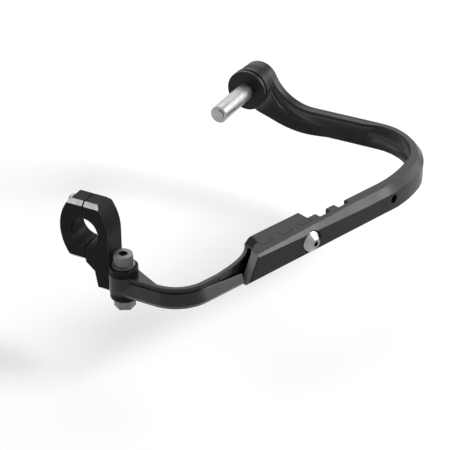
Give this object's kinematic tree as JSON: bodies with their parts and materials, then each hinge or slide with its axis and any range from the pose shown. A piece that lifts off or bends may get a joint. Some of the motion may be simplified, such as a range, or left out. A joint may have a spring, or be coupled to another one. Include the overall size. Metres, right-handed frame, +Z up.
{
  "type": "motorcycle handguard",
  "caption": "Wrap-around handguard with a toothed two-piece arm, split handlebar clamp and bar-end expander.",
  "frame": {"origin": "centre of the handlebar clamp's bore, in the middle of the clamp's width", "axes": "+X outboard along the handlebar, -Y forward, +Z up"},
  "size_m": [0.2833, 0.1797, 0.0744],
  "materials": {
    "arm_black": "satin black moulding with a fine grain",
    "arm_gloss_black": "glossy black moulding",
    "clamp_black": "black anodised aluminium with brighter planed edges",
    "polished_steel": "polished steel",
    "plated_steel": "dull zinc-plated steel",
    "bare_aluminium": "turned aluminium",
    "collar_black": "black moulded ring"
  },
  "bodies": {
    "root": {"outer_arm": "arm_black", "inner_arm": "arm_gloss_black", "clamp_front": "clamp_black", "clamp_rear": "clamp_black", "joint_bolt": "polished_steel", "joint_nut": "plated_steel", "clamp_screws": "plated_steel", "pivot_bolt": "plated_steel", "pivot_washers": "plated_steel", "pivot_nut": "plated_steel", "bar_end_bolt": "plated_steel", "bar_end_washer": "plated_steel", "expander_sleeve": "bare_aluminium", "expander_nut": "plated_steel", "bar_end_collar": "collar_black"}
  },
  "joints": []
}
